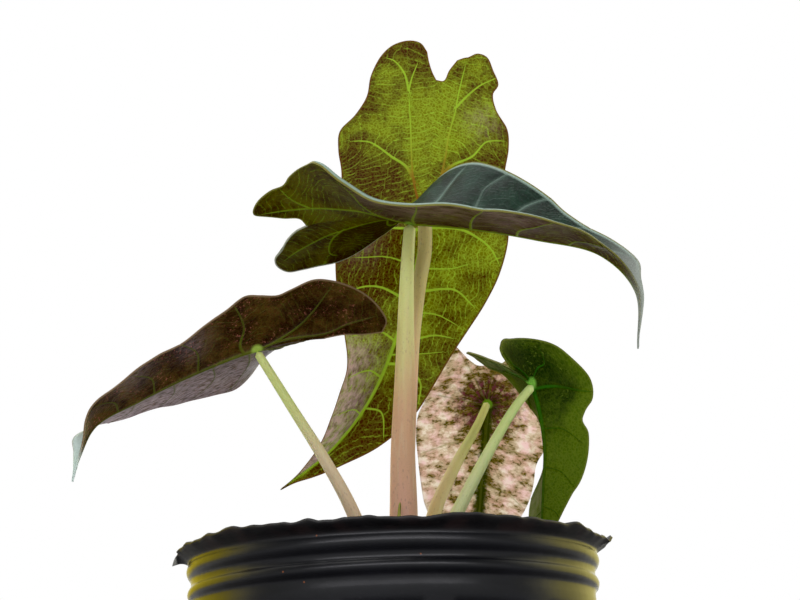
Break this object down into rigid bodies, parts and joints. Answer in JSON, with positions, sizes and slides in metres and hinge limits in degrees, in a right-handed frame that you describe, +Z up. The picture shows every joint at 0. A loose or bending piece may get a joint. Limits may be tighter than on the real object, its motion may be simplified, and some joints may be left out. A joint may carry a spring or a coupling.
{
  "type": "potted alocasia polly",
  "caption": "Upright aroid with arrow-shaped, wavy-edged leaves on long arching stalks, growing from a corm in soil in a round ribbed nursery pot with a crinkled lip.",
  "frame": {"origin": "centre of the pot's flat base, on the surface it stands on", "axes": "+Z up, -Y towards the side that was pictured, +X to the right of it"},
  "size_m": [0.2085, 0.1568, 0.354],
  "materials": {
    "pot_plastic": "thin black plastic, satin gloss",
    "potting_soil": "rough, matte",
    "corm": "rough, fibrous",
    "pink_stalk": "smooth, waxy",
    "pale_stalk": "smooth, waxy",
    "backlit_leaf": "satin, translucent",
    "dark_leaf": "satin, with a grey sheen",
    "green_leaf": "satin",
    "variegated_leaf": "satin, translucent",
    "shoot": "smooth"
  },
  "bodies": {
    "root": {"pot": "pot_plastic", "soil": "potting_soil", "corm": "corm", "petiole_back": "pink_stalk", "petiole_top": "pink_stalk", "petiole_left": "pale_stalk", "petiole_right": "pale_stalk", "petiole_small": "pale_stalk", "blade_back": "backlit_leaf", "blade_top": "dark_leaf", "blade_left": "dark_leaf", "blade_right": "green_leaf", "blade_small": "variegated_leaf", "new_shoot": "shoot"}
  },
  "joints": []
}
